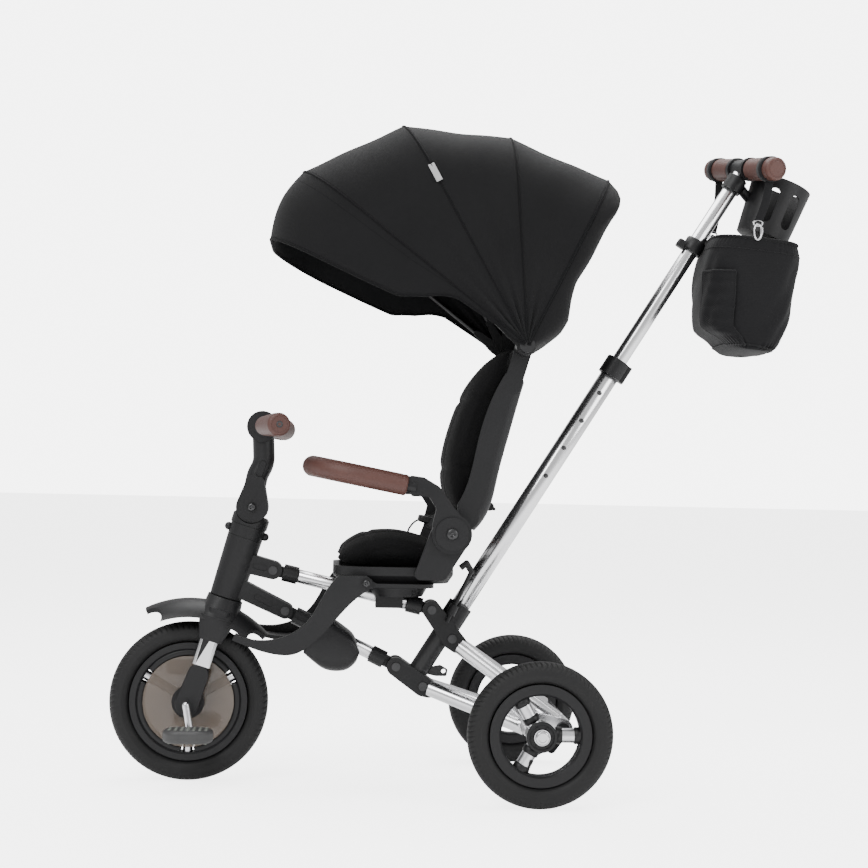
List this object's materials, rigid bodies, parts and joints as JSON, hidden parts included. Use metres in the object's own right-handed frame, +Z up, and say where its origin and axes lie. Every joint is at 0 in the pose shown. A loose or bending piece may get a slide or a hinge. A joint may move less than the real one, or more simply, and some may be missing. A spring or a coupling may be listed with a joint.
{
  "type": "children's tricycle",
  "caption": "Folding children's push tricycle with a hooped canopy, padded seat and safety bar, footrest, telescoping push bar, cup holder and bag.",
  "frame": {"origin": "on the floor, in the centre plane, midway between the front tyre's foremost point and the cup holder's rearmost point", "axes": "-X forward, the direction of travel; +Y to the rider's right; +Z up"},
  "size_m": [1.1292, 0.486, 1.0522],
  "materials": {
    "polished_tube": "polished",
    "black_plastic": "satin",
    "black_metal": "satin powder coat",
    "steel": "bright",
    "tyre_rubber": "matte ribbed",
    "pedal_rubber": "matte",
    "smoked_disc": "smoked translucent plastic",
    "brown_leather": "stitched",
    "black_fabric": "woven",
    "webbing": "woven strap"
  },
  "bodies": {
    "frame": {"upper_tube": "polished_tube", "frame_castings": "black_plastic", "seat_shell": "black_plastic", "seat_cushion": "black_fabric", "harness": "webbing"},
    "front_frame": {"head_tube": "black_plastic", "front_pivot_bolts": "steel"},
    "lower_link": {"lower_tube": "polished_tube", "lower_sleeves": "black_plastic", "rest_pad": "black_plastic"},
    "steering_fork": {"fork": "polished_tube", "dropout_caps": "black_plastic", "mudguard": "black_plastic", "stem_base": "black_plastic"},
    "lock_ring": {"steering_lock_ring": "black_plastic"},
    "handlebar_unit": {"stem": "black_plastic", "handlebar": "steel", "handlebar_grips": "brown_leather"},
    "stem_button_unit": {"stem_button": "black_plastic"},
    "front_wheel_unit": {"front_tyre": "tyre_rubber", "front_wheel": "black_plastic", "front_wheel_discs": "smoked_disc"},
    "crank": {"crankshaft": "steel"},
    "left_pedal": {"pedal_left": "pedal_rubber"},
    "right_pedal": {"pedal_right": "pedal_rubber"},
    "rear_frame": {"link_castings": "black_plastic", "rear_pivot_bolts": "steel", "upright_tube": "black_metal", "rear_tubes": "polished_tube", "axle_housing": "polished_tube", "rear_axle": "steel", "push_outer_tube": "polished_tube", "push_collar": "black_plastic"},
    "left_rear_wheel": {"rear_tyre_left": "tyre_rubber", "rear_wheel_left": "black_plastic"},
    "right_rear_wheel": {"rear_tyre_right": "tyre_rubber", "rear_wheel_right": "black_plastic"},
    "brake": {"brake_pedal": "black_plastic"},
    "release": {"fold_release": "black_plastic"},
    "push_bar": {"push_inner_tube": "polished_tube", "handle_tee": "black_plastic", "handle_grips": "brown_leather", "cup_holder": "black_plastic", "bag": "black_fabric", "bag_straps": "webbing"},
    "safety_bar_unit": {"safety_bar": "black_plastic", "bar_wrap": "brown_leather"},
    "backrest": {"backrest_shell": "black_plastic", "backrest_cushion": "black_fabric", "canopy_hoop_rear": "black_metal", "canopy_back_curtain": "black_fabric", "canopy_panel_rear": "black_fabric"},
    "recline_lever_unit": {"recline_lever": "black_plastic"},
    "footrest_unit": {"footrest": "black_plastic"},
    "canopy_upper_rear": {"canopy_hoop_upper_rear": "black_metal", "canopy_panel_top": "black_fabric"},
    "canopy_upper_front": {"canopy_hoop_upper_front": "black_metal", "canopy_panel_front": "black_fabric"},
    "canopy_front": {"canopy_hoop_front": "black_metal", "canopy_visor": "black_fabric"}
  },
  "joints": [
    {"name": "front_fold", "type": "hinge", "parent": "frame", "child": "front_frame", "pos_m": [-0.30757, 0, 0.339], "axis": [0, -1, 0], "range_deg": [0, 16]},
    {"name": "lower_tube_fold", "type": "hinge", "parent": "front_frame", "child": "lower_link", "pos_m": [-0.28657, 0, 0.274], "axis": [0, -1, 0], "range_deg": [-20.8, 0]},
    {"name": "rear_fold", "type": "hinge", "parent": "frame", "child": "rear_frame", "pos_m": [-0.05057, 0, 0.28], "axis": [0, -1, 0], "range_deg": [0, 4.7]},
    {"name": "steering", "type": "hinge", "parent": "front_frame", "child": "steering_fork", "pos_m": [-0.43257, 0, 0.127], "axis": [0.284, 0, 0.9588], "range_deg": [-30, 30]},
    {"name": "lock_ring_turn", "type": "hinge", "parent": "front_frame", "child": "lock_ring", "pos_m": [-0.43257, 0, 0.127], "axis": [0.284, 0, 0.9588], "range_deg": [0, 25]},
    {"name": "stem_fold", "type": "hinge", "parent": "steering_fork", "child": "handlebar_unit", "pos_m": [-0.34357, 0, 0.44], "axis": [0, -1, 0], "range_deg": [0, 54]},
    {"name": "stem_button_press", "type": "slide", "parent": "handlebar_unit", "child": "stem_button_unit", "axis": [0, 1, 0], "range_m": [0, 0.003], "stiffness_N_per_m": 300},
    {"name": "front_wheel_spin", "type": "hinge", "parent": "steering_fork", "child": "front_wheel_unit", "pos_m": [-0.43757, 0, 0.127], "axis": [0, 1, 0], "continuous": true},
    {"name": "crank_spin", "type": "hinge", "parent": "steering_fork", "child": "crank", "pos_m": [-0.43757, 0, 0.127], "axis": [0, 1, 0], "continuous": true},
    {"name": "pedal_left_spin", "type": "hinge", "parent": "crank", "child": "left_pedal", "pos_m": [-0.42955, -0.096, 0.08577], "axis": [0, 1, 0], "continuous": true},
    {"name": "pedal_right_spin", "type": "hinge", "parent": "crank", "child": "right_pedal", "pos_m": [-0.44558, 0.096, 0.16823], "axis": [0, 1, 0], "continuous": true},
    {"name": "rear_wheel_left_spin", "type": "hinge", "parent": "rear_frame", "child": "left_rear_wheel", "pos_m": [0.10543, -0.21, 0.1105], "axis": [0, 1, 0], "continuous": true},
    {"name": "rear_wheel_right_spin", "type": "hinge", "parent": "rear_frame", "child": "right_rear_wheel", "pos_m": [0.10543, 0.21, 0.1105], "axis": [0, 1, 0], "continuous": true},
    {"name": "brake_pedal_press", "type": "hinge", "parent": "rear_frame", "child": "brake", "pos_m": [0.15243, 0, 0.106], "axis": [0, -1, 0], "range_deg": [0, 15]},
    {"name": "fold_release_pull", "type": "slide", "parent": "rear_frame", "child": "release", "axis": [0.4205, 0, 0.9073], "range_m": [0, 0.012], "stiffness_N_per_m": 300},
    {"name": "push_bar_slide", "type": "slide", "parent": "rear_frame", "child": "push_bar", "axis": [0.5299, 0, 0.848], "range_m": [-0.18, 0]},
    {"name": "safety_bar_swing", "type": "hinge", "parent": "frame", "child": "safety_bar_unit", "pos_m": [-0.02857, 0, 0.407], "axis": [0, 1, 0], "range_deg": [0, 58]},
    {"name": "backrest_recline", "type": "hinge", "parent": "frame", "child": "backrest", "pos_m": [-0.02857, 0, 0.407], "axis": [0, 1, 0], "range_deg": [0, 6]},
    {"name": "recline_lever_pull", "type": "hinge", "parent": "backrest", "child": "recline_lever_unit", "pos_m": [0.03843, 0, 0.449], "axis": [0, -1, 0], "range_deg": [0, 15], "stiffness_Nm_per_rad": 0.3},
    {"name": "footrest_fold", "type": "hinge", "parent": "frame", "child": "footrest_unit", "pos_m": [-0.15957, 0, 0.329], "axis": [0, 1, 0], "range_deg": [0, 60]},
    {"name": "canopy_fold", "type": "hinge", "parent": "backrest", "child": "canopy_upper_rear", "pos_m": [0.08043, 0, 0.702], "axis": [0, 1, 0], "range_deg": [0, 17], "deforming": ["canopy_panel_rear"]},
    {"name": "canopy_fold_middle", "type": "hinge", "parent": "canopy_upper_rear", "child": "canopy_upper_front", "pos_m": [0.08043, 0, 0.702], "axis": [0, 1, 0], "range_deg": [0, 14.5], "deforming": ["canopy_panel_top"]},
    {"name": "canopy_fold_front", "type": "hinge", "parent": "canopy_upper_front", "child": "canopy_front", "pos_m": [0.08043, 0, 0.702], "axis": [0, 1, 0], "range_deg": [0, 12], "deforming": ["canopy_panel_front"]}
  ],
  "couplings": [
    {"joint": "lower_tube_fold", "follows": "front_fold", "ratio": -1.2908},
    {"joint": "rear_fold", "follows": "front_fold", "ratio": 0.28665},
    {"joint": "crank_spin", "follows": "front_wheel_spin", "ratio": 1},
    {"joint": "canopy_fold_middle", "follows": "canopy_fold", "ratio": 0.8471},
    {"joint": "canopy_fold_front", "follows": "canopy_fold", "ratio": 0.7}
  ]
}
